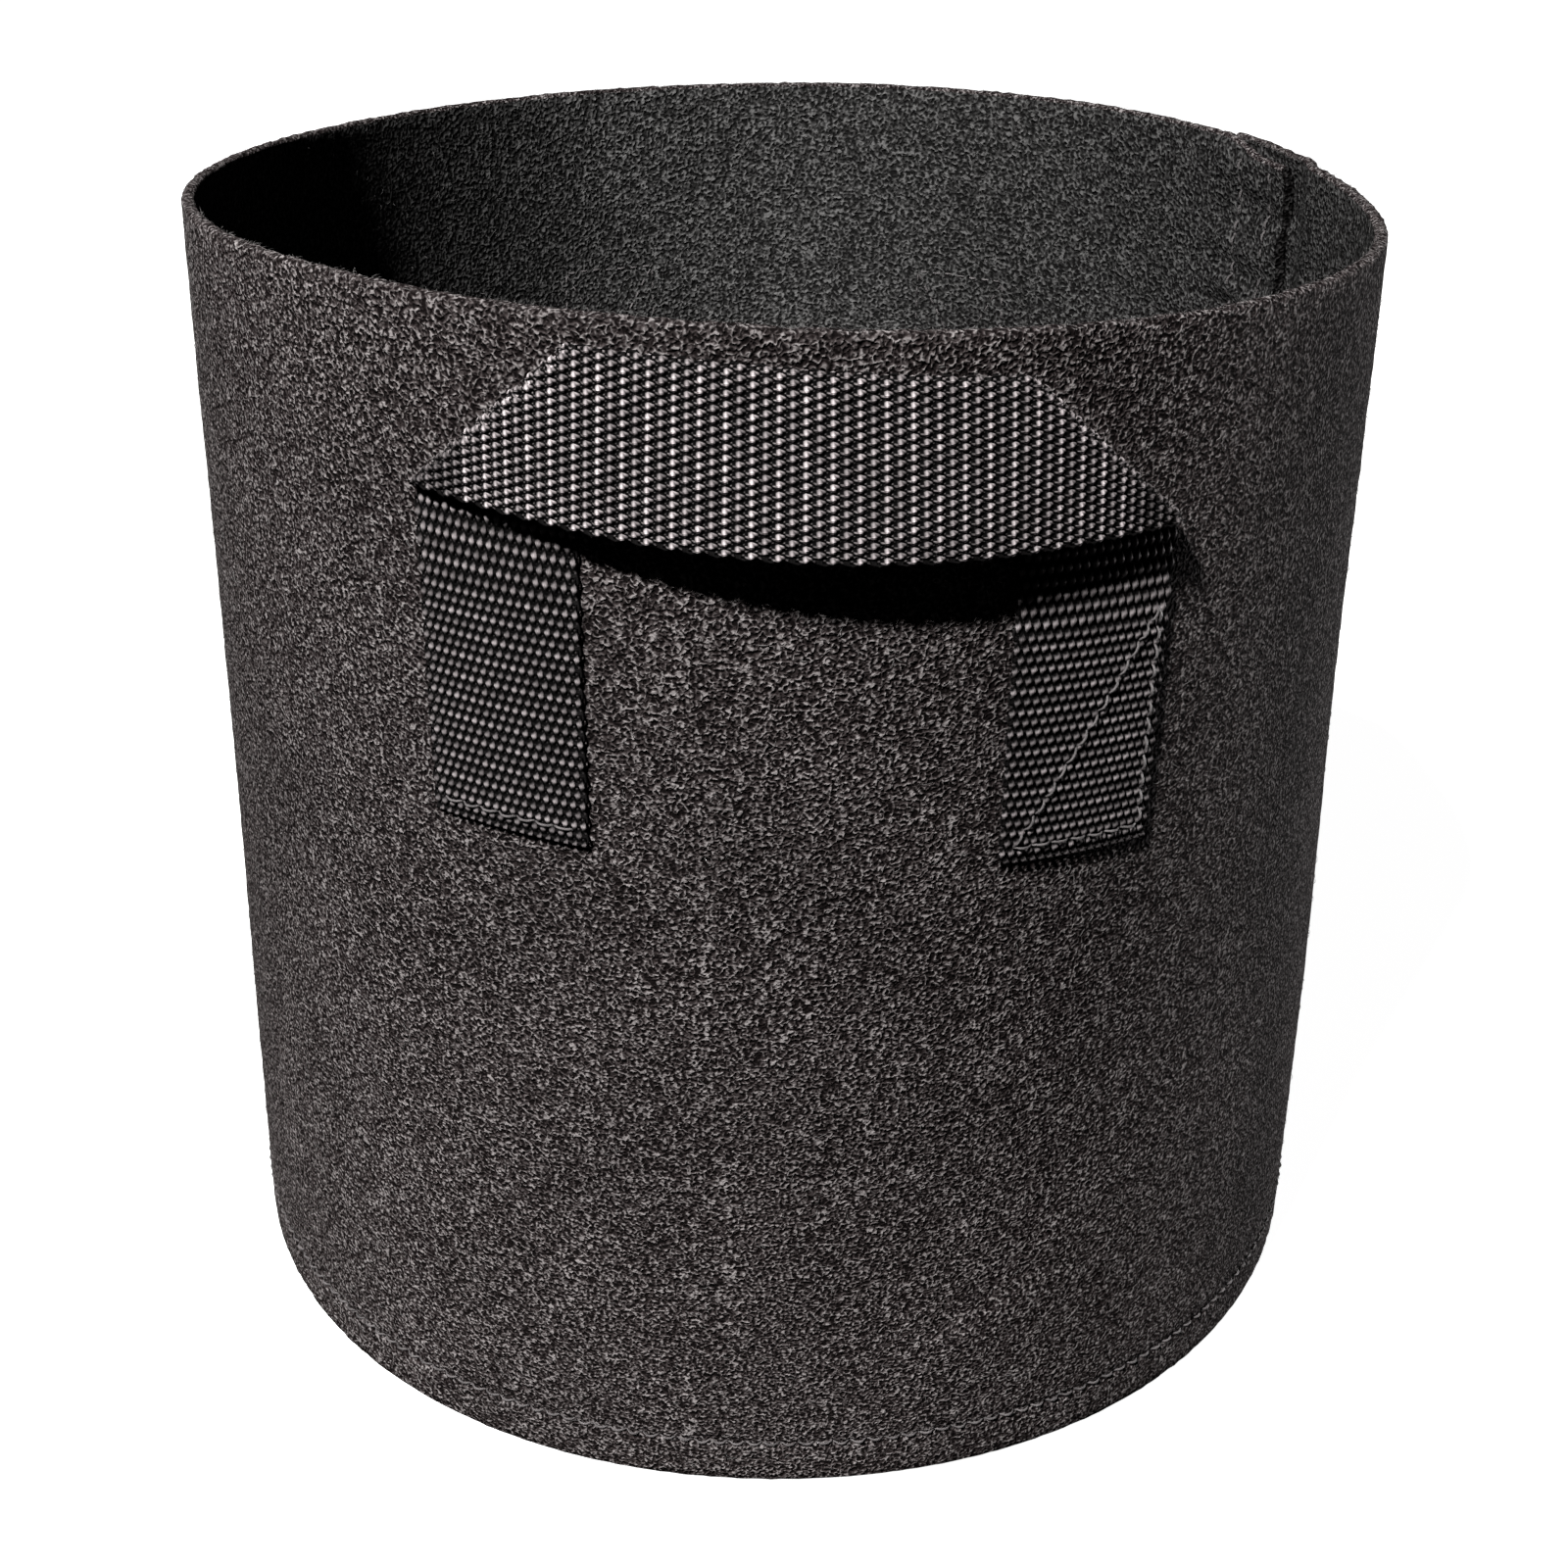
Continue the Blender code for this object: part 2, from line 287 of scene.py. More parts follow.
def felt_paint(name, tint, tone, grain=1.0, contrast=1.0, painted_light_fades=()):
    """Needle-punched felt: short curled fibres over dark pits, with painted shade in the pits and
    painted glints on a few pale fibres.

    Each painted light fade is an axis, where along it the fade starts and ends, and its two
    factors.
    """
    paint = Paint(name)
    place = paint.node("ShaderNodeTexCoord").outputs["Object"]
    curl = paint.noise(place, FIBRE_SCALE * grain, 0.0)
    bent = paint.node("ShaderNodeVectorMath", operation="MULTIPLY_ADD")
    paint.link(curl.outputs["Color"], bent.inputs[0])
    bent.inputs[1].default_value = (CURL, CURL, CURL)
    paint.link(place, bent.inputs[2])
    fibres = paint.noise(bent.outputs["Vector"], FIBRE_SCALE * grain, 0.0, ridged=True)
    tufts = paint.noise(bent.outputs["Vector"], TUFT_SCALE * grain, 0.4)
    clumps = paint.noise(place, CLUMP_SCALE, 1.0)
    patches = paint.noise(place, PATCH_SCALE, 3.0, 0.6)
    thread = paint.remap(fibres.outputs["Fac"], 0.25, 1.0, 0.0, 1.0)
    fine = paint.remap(tufts.outputs["Fac"], 0.30, 0.70, 0.0, 1.0)
    coarse = paint.remap(clumps.outputs["Fac"], 0.3, 0.7, 0.84, 1.12)
    height = paint.math("MULTIPLY", paint.math("ADD", paint.math("MULTIPLY", thread, 0.22),
                                               paint.math("MULTIPLY", fine, 0.78)), coarse)

    def shade(depth, stain):
        level = tone * (depth / GREY) ** contrast * GREY
        return tuple(level * part**stain for part in tint)

    # the colour follows the fibres' height: partly their own shades, partly painted shade in the
    # pits and painted glints on the highest fibres
    colour = paint.ramp(height, [
        (0.14, shade(0.0046, 2.0)), (0.38, shade(0.0215, 1.5)), (0.58, shade(0.0590, 1.0)),
        (0.88, shade(0.22, 0.5)),
    ])
    patches_and_painted_light = paint.mix(1.0, colour, paint.remap(patches.outputs["Fac"], 0.3, 0.7, 0.86, 1.14),
                     "MULTIPLY")
    parts = paint.node("ShaderNodeSeparateXYZ")
    paint.link(place, parts.inputs[0])
    # painted light and shade: each fade brightens or darkens the colour along one axis
    for axis, start, end, first, last in painted_light_fades:
        fade = paint.remap(parts.outputs[axis], start, end, first, last)
        patches_and_painted_light = paint.mix(1.0, patches_and_painted_light, fade, "MULTIPLY")
    paint.link(patches_and_painted_light, paint.shader.inputs["Base Color"])
    paint.link(paint.remap(height, 0.2, 0.9, 1.0, 0.8), paint.shader.inputs["Roughness"])
    paint.shader.inputs["Specular IOR Level"].default_value = CLOTH_SPECULAR
    paint.link(paint.bump(height, 0.0008), paint.shader.inputs["Normal"])
    return paint.material


def webbing_paint():
    """Black polypropylene yarn, its colour multiplied by painted light: a painted highlight where
    each yarn crosses over the weft, painted shade elsewhere.
    """
    paint = Paint("webbing_yarn")
    place = paint.node("ShaderNodeTexCoord").outputs["Object"]
    strand = paint.node("ShaderNodeUVMap", uv_map="strand").outputs["UV"]
    streak = paint.node("ShaderNodeTexWave", wave_type="BANDS", bands_direction="Y")
    streak.inputs["Scale"].default_value = 1.9
    streak.inputs["Distortion"].default_value = 1.2
    streak.inputs["Detail"].default_value = 2.0
    paint.link(strand, streak.inputs["Vector"])
    patches = paint.noise(place, 240.0, 2.0, 0.6)
    fluff = paint.noise(place, 1500.0, 2.0, 0.6)
    # painted light: highlights on the yarn crossings and shade between them, multiplied into the
    # colour
    painted_light = paint.node("ShaderNodeAttribute", attribute_name="painted_light").outputs["Fac"]
    tone = paint.remap(patches.outputs["Fac"], 0.3, 0.7, 0.75, 1.25)
    colour = paint.ramp(streak.outputs["Fac"], [
        (0.0, (0.32, 0.286, 0.293)),
        (1.0, (0.62, 0.564, 0.575)),
    ])
    shaded = paint.mix(1.0, paint.mix(1.0, colour, tone, "MULTIPLY"), painted_light, "MULTIPLY")
    paint.link(shaded, paint.shader.inputs["Base Color"])
    paint.link(paint.remap(painted_light, 0.02, 0.5, 1.0, 0.55), paint.shader.inputs["Roughness"])
    paint.shader.inputs["Specular IOR Level"].default_value = YARN_SPECULAR
    first = paint.bump(streak.outputs["Fac"], 0.00005)
    paint.link(paint.bump(fluff.outputs["Fac"], 0.00004, first), paint.shader.inputs["Normal"])
    return paint.material


def thread_paint():
    """Twisted polyester sewing thread."""
    paint = Paint("sewing_thread")
    place = paint.node("ShaderNodeTexCoord").outputs["Object"]
    strand = paint.node("ShaderNodeUVMap", uv_map="strand").outputs["UV"]
    twist = paint.node("ShaderNodeTexWave", wave_type="BANDS", bands_direction="DIAGONAL")
    twist.inputs["Scale"].default_value = 1.6
    paint.link(strand, twist.inputs["Vector"])
    patches = paint.noise(place, 300.0, 2.0, 0.6)
    tone = paint.remap(patches.outputs["Fac"], 0.3, 0.7, 0.6, 1.4)
    colour = paint.ramp(twist.outputs["Fac"], [
        (0.1, (0.035, 0.032, 0.0325)),
        (0.9, (0.17, 0.156, 0.159)),
    ])
    paint.link(paint.mix(1.0, colour, tone, "MULTIPLY"), paint.shader.inputs["Base Color"])
    paint.link(paint.remap(patches.outputs["Fac"], 0.3, 0.7, 0.4, 0.6),
               paint.shader.inputs["Roughness"])
    paint.link(paint.bump(twist.outputs["Fac"], 0.00008), paint.shader.inputs["Normal"])
    return paint.material


def fibre_paint():
    """Single loose fibres on the felt."""
    paint = Paint("loose_fibre")
    place = paint.node("ShaderNodeTexCoord").outputs["Object"]
    patches = paint.noise(place, 500.0, 1.0, 0.6)
    colour = paint.ramp(patches.outputs["Fac"], [
        (0.3, (0.03, 0.029, 0.029)),
        (0.7, (0.16, 0.153, 0.152)),
    ])
    paint.link(colour, paint.shader.inputs["Base Color"])
    paint.link(paint.remap(patches.outputs["Fac"], 0.3, 0.7, 0.5, 0.7),
               paint.shader.inputs["Roughness"])
    return paint.material


# painted light: the felt is paler towards the foot
FELT_PAINT = felt_paint("needle_felt", (1.0, 0.86, 0.86), 0.94, 1.14,
                        painted_light_fades=[("Z", 0.0, 0.16, 1.30, 1.0)])
# painted shade darkens the lining towards +X, where the side seam is, and painted shadow darkens
# it towards -X, on the inside's left
LINING_PAINT = felt_paint("needle_felt_inside", (1.0, 0.99, 0.985), 0.90, 0.88, 0.72,
                          painted_light_fades=[("X", 0.0, 0.11, 1.0, 0.68), ("X", -0.105, -0.055, 0.45, 1.0)])
# painted shade: the felt's cut ends are painted almost black, as the dark line where the strip
# ends
CUT_END_PAINTED_SHADE = felt_paint("needle_felt_cut_end_painted_shade", (1.0, 0.95, 0.94), 0.16)
WEBBING_PAINT = webbing_paint()
THREAD_PAINT = thread_paint()
FIBRE_PAINT = fibre_paint()


# ---------------------------------------------------------------- felt

CREASE_AZIMUTH = math.radians(18.3)
CREASE_HEIGHT = 0.0483
CREASE_SLANT = math.radians(30)
CREASE_RISE = 0.0011
PUCKER = 0.0007
INNER_PUCKER = 0.35  # how much more the wrinkles stand out on the lap's inside than outside
ROUGH = 0.00007  # unevenness of the felt's faces


def grain(shape, size):
    """Random unevenness of about that size."""
    return rng.normal(0.0, size, shape)


def lap_rise(azimuth):
    """How far the wall's outer end climbs over its inner end."""
    climb = TAU + LAP_INNER_END - LAP_RAMP
    return LAP_RISE * smoothstep(climb, climb + LAP_RAMP * 0.85, azimuth)


def pucker(azimuth, z):
    """Wrinkles that the side seam's two rows pull into the lap, on both layers alike."""
    turn = np.mod(azimuth, TAU)
    inside = smoothstep(math.radians(103), math.radians(110), turn) * (
        1 - smoothstep(math.radians(119.5), math.radians(124), turn)
    )
    across = (turn - LAP_INNER_END) / (LAP_OUTER_END - LAP_INNER_END)
    wave = np.sin(TAU * z / 0.0168 + 1.9 * across + 1.6 * np.sin(TAU * z / 0.061))
    wave += 0.6 * np.sin(TAU * z / 0.0107 - 2.4 * across + 0.8)
    return PUCKER * inside * wave


def crease(azimuth, z):
    """A faint slanting crease in the front of the wall, low on the right.

    It is a short rise that faces up and left, with a long way down behind it.
    """
    along = BASE_RADIUS * (np.mod(azimuth, TAU) - CREASE_AZIMUTH)
    length = along * math.cos(CREASE_SLANT) + (z - CREASE_HEIGHT) * math.sin(CREASE_SLANT)
    below = along * math.sin(CREASE_SLANT) - (z - CREASE_HEIGHT) * math.cos(CREASE_SLANT)
    fold = smoothstep(-0.0024, 0.0024, below) * np.exp(-((np.maximum(below, 0) / 0.016) ** 2))
    return CREASE_RISE * fold * np.exp(-((length / 0.017) ** 4))


def seam_dip(azimuth, z, column_index):
    """The groove that a row of stitches presses into the felt, deeper at each needle hole."""
    hole = 0.00045 + 0.00035 * np.cos(math.pi * column_index)
    groove = hole * np.exp(-(((z - BASE_SEAM_HEIGHT) / GROOVE_HALF) ** 2))
    turn = np.mod(azimuth, TAU)
    for row in SIDE_SEAM_ROWS:
        bite = 0.0005 + 0.0002 * np.cos(TAU * z / STITCH)
        groove = groove + bite * np.exp(-(((turn - row) * BASE_RADIUS / GROOVE_HALF) ** 2))
    return groove


def felt_wall():
    """One strip of felt, wrapped once round with its outer end lapped over its inner end."""
    count = int((TAU + LAP_OUTER_END - LAP_INNER_END) / COLUMN) + 1
    columns = np.arange(count)
    azimuth = LAP_INNER_END + columns * COLUMN
    rows = np.concatenate([
        np.array([0.0009, 0.0035, 0.0065, 0.0088]),
        np.arange(0.0100, 0.0152, 0.00065),  # close together for the base seam's groove
        np.linspace(0.0172, BAG_HEIGHT - 0.0009, 82),
    ])
    # Each column is a closed loop: up the outer face, over the cut edge, down the inner face.
    # A point is (outward, height, face), and face is 1 outside, -1 inside, 2 rim and 0 foot.
    rim = [(-0.00015, -0.0005), (-0.0006, -0.00008), (-0.0015, 0.0001), (-0.0024, -0.00008),
           (-0.00285, -0.0005)]
    foot = [(-0.0027, 0.0003), (-0.0015, 0.0), (-0.0003, 0.0003)]
    loop = [(0.0, z, 1.0) for z in rows]
    loop += [(o, BAG_HEIGHT + z, 2.0) for o, z in rim]
    loop += [(-FELT, z, -1.0) for z in rows[::-1]]
    loop += [(o, z + 0.0002, 0.0) for o, z in foot]
    loop = np.array(loop)
    offset, z, face = (loop[:, i][None, :] for i in range(3))
    azimuth = azimuth[:, None]
    # the inner end of the strip sits a little lower at the rim
    start = 1 - smoothstep(LAP_OUTER_END - math.radians(7), LAP_OUTER_END, azimuth)
    height = z - 0.0032 * start * (z / BAG_HEIGHT) ** 2
    shape = (count, loop.shape[0])
    outward = offset + lap_rise(azimuth) + pucker(azimuth, z) + crease(azimuth, z)
    dip = seam_dip(azimuth, z, columns[:, None])
    lap_inside = (face == -1.0) & (azimuth < math.pi)
    outward = outward + np.where(lap_inside, INNER_PUCKER, 0) * pucker(azimuth, z)
    outward = outward - np.where(face == 1.0, dip, 0) + np.where(face == -1.0, dip, 0)
    outward = outward + grain(shape, ROUGH)
    ragged = grain((count, 1), 0.00010) + grain(shape, 0.00006)
    height = height + np.where(face > 1.5, ragged, 0)
    azimuth = azimuth + np.where(face > 1.5, grain(shape, 0.0004), 0)
    points = on_wall(azimuth, height, outward).reshape(-1, 3)
    points[:, 2] = np.maximum(points[:, 2], 0.0002)
    around = loop.shape[0]
    i, j = np.meshgrid(np.arange(count - 1), np.arange(around), indexing="ij")
    k = (j + 1) % around
    faces = np.stack([i * around + j, (i + 1) * around + j, (i + 1) * around + k, i * around + k],
                     axis=-1).reshape(-1, 4)
    # the two cut ends: bridge the outer face's points to the inner face's
    n = len(rows)
    outer = np.arange(n)
    inner = n + len(rim) + n - 1 - outer
    ends = []
    for first, flip in ((0, False), ((count - 1) * around, True)):
        strip = np.stack([outer[:-1], outer[1:], inner[1:], inner[:-1]], axis=-1) + first
        ends.append(strip[:, ::-1] if flip else strip)
    top_cap = [n - 1, n, n + 1, n + 2, n + 3, n + 4, n + 5]
    foot_start = 2 * n + len(rim)
    foot_cap = [0, inner[0], foot_start, foot_start + 1, foot_start + 2]
    faces = np.concatenate([faces, *ends])
    made = add_mesh("felt_wall", points, faces, FELT_PAINT)
    work = bmesh.new()
    work.from_mesh(made.data)
    work.verts.ensure_lookup_table()
    for first in (0, (count - 1) * around):
        work.faces.new([work.verts[first + index] for index in top_cap])
        work.faces.new([work.verts[first + index] for index in foot_cap])
    made.data.materials.append(LINING_PAINT)
    made.data.materials.append(CUT_END_PAINTED_SHADE)
    inside = range(n + len(rim), 2 * n + len(rim))
    for polygon in work.faces:
        ring = [vertex.index % around for vertex in polygon.verts]
        column = {vertex.index // around for vertex in polygon.verts}
        # faces of a single column are the cut ends, which take the painted shade
        if len(column) == 1:
            polygon.material_index = 2
        elif all(index in inside for index in ring):
            polygon.material_index = 1
    bmesh.ops.recalc_face_normals(work, faces=work.faces)
    work.to_mesh(made.data)
    work.free()
    made.data.shade_smooth()
    made.data.set_sharp_from_angle(angle=math.radians(65))
    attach(made, "bag")
    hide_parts("wall_panel")
    return made


def felt_base():
    """A round of felt with its edge turned up inside the wall and gathered by the stitches."""
    outer = BASE_RADIUS - FELT - GAP
    segments = 2 * STITCHES_ROUND
    flat = np.linspace(0.004, outer - FELT - 0.0012, 40)
    rise = np.linspace(FELT + 0.0012, FLANGE_HEIGHT - 0.0007, 14)
    # A section from the middle of the upper face, over the turned-up edge, to the middle of the
    # lower face. A point is (radius, height, face): 1 and -1 flat, 2 and -2 upright, 3 cut edge.
    loop = [(r, FELT, 1.0) for r in flat]
    loop += [(outer - FELT - 0.0004, FELT + 0.0004, 0.0)]
    loop += [(outer - FELT, z, 2.0) for z in rise]
    loop += [(outer - FELT + 0.0006, FLANGE_HEIGHT - 0.0001, 3.0),
             (outer - 0.0015, FLANGE_HEIGHT, 3.0),
             (outer - 0.0005, FLANGE_HEIGHT - 0.0001, 3.0)]
    loop += [(outer, z, -2.0) for z in rise[::-1]]
    loop += [(outer - 0.0004, 0.0009, 0.0), (outer - 0.0014, 0.0002, 0.0)]
    loop += [(r, 0.0, -1.0) for r in flat[::-1]]
    loop = np.array(loop)
    radius, z, face = (loop[:, i][None, :] for i in range(3))
    azimuth = (LAP_INNER_END + np.arange(segments) * COLUMN)[:, None]
    shape = (segments, loop.shape[0])
    # the turned-up edge fills the wedge where the wall climbs over its own inner end
    wedge = 0.9 * lap_rise(azimuth) * (azimuth < TAU + LAP_INNER_END - COLUMN / 2)
    radius = radius + wedge * smoothstep(outer - FELT, outer - 0.0014, radius)
    upright = smoothstep(FELT, FLANGE_HEIGHT, z)
    radius = radius - FLANGE_LEAN * upright
    gather = 0.0005 * upright**2 * np.sin(71 * azimuth + 2.0 * np.sin(5 * azimuth))
    radius = radius - np.where(np.abs(face) >= 2, np.abs(gather), 0)
    dip = (0.0004 + 0.0003 * np.cos(math.pi * np.arange(segments)[:, None])) * np.exp(
        -(((z - BASE_SEAM_HEIGHT) / GROOVE_HALF) ** 2)
    )
    radius = radius + np.where(face == 2.0, dip, 0)
    # the round doesn't lie quite flat
    swell = 0.0
    for count, reach, phase in ((2, 0.5, 0.4), (3, 0.8, 2.2), (5, 0.65, 4.0)):
        bell = np.sin(math.pi * np.clip(radius / outer, 0, 1)) ** 2
        swell = swell + 0.0007 * reach * bell * (1 + np.cos(count * azimuth + phase))
    height = z + swell + np.where(np.abs(face) == 1, np.abs(grain(shape, ROUGH)), 0)
    height = height + np.where(face == 3, grain(shape, 0.00015), 0)
    points = np.stack(
        [radius * np.sin(azimuth), -radius * np.cos(azimuth), height + 0 * radius], axis=-1
    ).reshape(-1, 3)
    around = loop.shape[0]
    i, j = np.meshgrid(np.arange(segments), np.arange(around - 1), indexing="ij")
    following = (i + 1) % segments
    faces = np.stack([i * around + j, following * around + j, following * around + j + 1,
                      i * around + j + 1], axis=-1).reshape(-1, 4)
    made = add_mesh("felt_base", points, faces, LINING_PAINT)
    work = bmesh.new()
    work.from_mesh(made.data)
    work.verts.ensure_lookup_table()
    for index in (0, around - 1):
        work.faces.new([work.verts[s * around + index] for s in range(segments)])
    bmesh.ops.recalc_face_normals(work, faces=work.faces)
    work.to_mesh(made.data)
    work.free()
    made.data.shade_smooth()
    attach(made, "bag")
    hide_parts("base_panel")
    return made


# ---------------------------------------------------------------- tubes: yarns, stitches, fibres


def tubes(centres, across, normals, half_width, half_height, sides):
    """Open tubes with elliptical sections, from (tubes, stations) and (tubes, stations, 3)."""
    count, stations = centres.shape[:2]
    turn = np.arange(sides) * TAU / sides + math.pi / 2
    ring = (
        centres[:, :, None]
        + across[:, :, None] * (half_width[:, :, None] * np.cos(turn))[..., None]
        + normals[:, :, None] * (half_height[:, :, None] * np.sin(turn))[..., None]
    )
    points = ring.reshape(-1, 3)
    t, s, k = np.meshgrid(
        np.arange(count), np.arange(stations - 1), np.arange(sides), indexing="ij"
    )
    base = (t * stations + s) * sides
    following = (k + 1) % sides
    faces = np.stack([base + k, base + following, base + sides + following, base + sides + k],
                     axis=-1).reshape(-1, 4)
    return points, faces


def strand_map(made, along, around):
    """UVs that run along and round each yarn, for the streaks of its filaments."""
    mesh = made.data
    layer = mesh.uv_layers.new(name="strand")
    index = np.zeros(len(mesh.loops), np.int32)
    mesh.loops.foreach_get("vertex_index", index)
    layer.data.foreach_set("uv", np.stack([along[index], around[index]], -1).astype(
        np.float32).ravel())


def fill_ends(made):
    """Closes the ends of a piece's tubes and turns all faces outward."""
    work = bmesh.new()
    work.from_mesh(made.data)
    open_edges = [edge for edge in work.edges if edge.is_boundary]
    bmesh.ops.holes_fill(work, edges=open_edges, sides=0)
    bmesh.ops.recalc_face_normals(work, faces=work.faces)
    work.to_mesh(made.data)
    work.free()
    made.data.shade_smooth()


# ---------------------------------------------------------------- handles

PICK = 0.0023  # from one weft row to the next, along the strap
YARNS = 36
YARN = WEBBING_WIDTH / YARNS
YARN_SIDES = 5
EDGE_CLIMB, YARN_CLIMB = 0.00030, 0.00046  # how far a warp yarn rises and dips at each row
WEFT_HALF_WIDTH, WEFT_HALF_HEIGHT = 0.00062, 0.00032
WEFT_TURN_HALF = 0.00035
# painted shade: the weft and the core get almost none of the painted light
WEFT_PAINTED_SHADE, CORE_PAINTED_SHADE = 0.012, 0.003
CORE_HALF = 0.00012
FRONT_SLIDE = 0.0032  # the front handle was sewn a little to the right, with its right end lower
FRONT_TILT = 0.036
DRAW_BOTTOM = 0.2260  # the strap is drawn up from this height
SLANT = 0.50  # how far the painted highlight on a yarn's crossing leans, as a phase from its middle to its side
TAB_PAINTED_HIGHLIGHT = 0.37  # the sewn ends lie with their other face out, and get a weaker painted highlight


def strap_half():
    """Lengths along the strap: from the leg's foot to the fold, sewn, and to the middle."""
    fold = GRIP_MIDDLE - math.pi * FOLD_RADIUS / math.sqrt(2) - LEG_BOTTOM
    middle = fold + TAB_ARC + math.pi * FOLD_RADIUS / math.sqrt(2)
    return fold, LEG_BOTTOM - TAB_BOTTOM, LEG_BOTTOM - TAB_BOTTOM + middle


def sewn_askew(along, z, facing):
    """The sewing's small errors: the front handle's are the larger."""
    if facing > 0:
        return along + FRONT_SLIDE, z - FRONT_TILT * along
    return along - 0.0012, z + 0.012 * along


def drawn_up(along, z, facing):
    """The strap's lower edge sits higher than a flat fold puts it, most of all at its tips."""
    low = GRIP_MIDDLE - WEBBING_WIDTH / 2
    reach = np.clip(along / (TAB_ARC + WEBBING_WIDTH / 2), -1, 1)
    rise = 0.0026 + 0.0022 * reach**2 + 0.0008 * reach
    share = np.where(z < low, (z - DRAW_BOTTOM) / (low - DRAW_BOTTOM),
                     1 - (z - low) / WEBBING_WIDTH)
    return z + rise * np.clip(share, 0, 1) * (1.0 if facing > 0 else 0.6)


def strap_point(run, across, facing):
    """A point of the strap's middle surface, from its left sewn end round to its right one."""
    fold, sewn, half = strap_half()
    side = np.where(run < half, -1.0, 1.0)
    run = np.where(run < half, run, 2 * half - run) - sewn
    past = (run - fold - across) / math.sqrt(2)
    beside = (run - fold + across) / math.sqrt(2)
    arc = math.pi * FOLD_RADIUS
    angle = np.clip(past / FOLD_RADIUS, 0, math.pi)
    out = np.where(past <= 0, past, np.where(past < arc, FOLD_RADIUS * np.sin(angle), arc - past))
    depth = FOLD_RADIUS * (1 - np.cos(angle))
    along = side * (TAB_ARC - (beside - out) / math.sqrt(2))
    z = LEG_BOTTOM + fold + (beside + out) / math.sqrt(2)
    share = depth / (2 * FOLD_RADIUS)
    hang = (GRIP_MIDDLE + WEBBING_WIDTH / 2 - z) / WEBBING_WIDTH
    reach = TAB_ARC + WEBBING_WIDTH / 2
    bow = GRIP_BOW * np.cos(math.pi / 2 * np.minimum(1, np.abs(along) / reach)) ** 2 * hang * share
    tips = (0.0013 + 0.0006 * np.clip(along / reach, -1, 1)) * hang * share
    outward = GAP + WEBBING / 2 + depth + bow + tips
    z = drawn_up(along, z, facing)
    along, z = sewn_askew(along, z, facing)
    point = on_wall(along / HANDLE_RADIUS, z, outward)
    return point * np.array([facing, facing, 1.0])


def unit(vectors):
    """Vectors of length 1 in the same directions."""
    return vectors / np.maximum(np.linalg.norm(vectors, axis=-1, keepdims=True), 1e-12)


def strap_frame(run, across, facing):
    """The middle surface's point, its direction across the strap and its normal."""
    step = 0.0002
    point = strap_point(run, across, facing)
    over = unit(strap_point(run, across + step, facing) - strap_point(run, across - step, facing))
    ahead = strap_point(run + step, across, facing) - strap_point(run - step, across, facing)
    return point, over, unit(np.cross(ahead, over))


def yarn_painted_light(run, row, number, phase):
    """The painted light on each vertex of each warp yarn: a leaning painted highlight on top of
    every crossing, painted shade elsewhere.
    """
    turn = np.arange(YARN_SIDES) * TAU / YARN_SIDES + math.pi / 2
    bead = np.abs(np.cos(phase[..., None] - SLANT * np.cos(turn)))
    bead = smoothstep(0.79, 1.0, bead)
    pick = np.floor(row + 0.5).astype(int)
    column = np.where(pick % 2 == 0, 1.20, 0.76)
    spread = rng.uniform(0.78, 1.15, (YARNS, pick.max() + 1))
    each = spread[number + 0 * pick, pick]
    fold, sewn, half = strap_half()
    up = np.where(run < half, run, 2 * half - run)
    on_grip = TAB_PAINTED_HIGHLIGHT + (1 - TAB_PAINTED_HIGHLIGHT) * smoothstep(sewn + fold - 0.004, sewn + fold, up)
    return 0.004 + 1.45 * bead * (column * each * on_grip)[..., None]


def strap_core(length, facing):
    """A closed ribbon along the strap's middle surface, narrower than the yarns."""
    stations, lanes = 241, 8
    run, across = np.meshgrid(np.linspace(0.0006, length - 0.0006, stations),
                              np.linspace(-0.5, 0.5, lanes) * (WEBBING_WIDTH - 0.0012),
                              indexing="ij")
    point, _, normal = strap_frame(run, across, facing)
    ring = np.concatenate([point + normal * CORE_HALF,
                           (point - normal * CORE_HALF)[:, ::-1]], axis=1)
    around = 2 * lanes
    i, j = np.meshgrid(np.arange(stations - 1), np.arange(around), indexing="ij")
    k = (j + 1) % around
    faces = np.stack([i * around + j, i * around + k, (i + 1) * around + k, (i + 1) * around + j],
                     axis=-1).reshape(-1, 4)
    return ring.reshape(-1, 3), faces


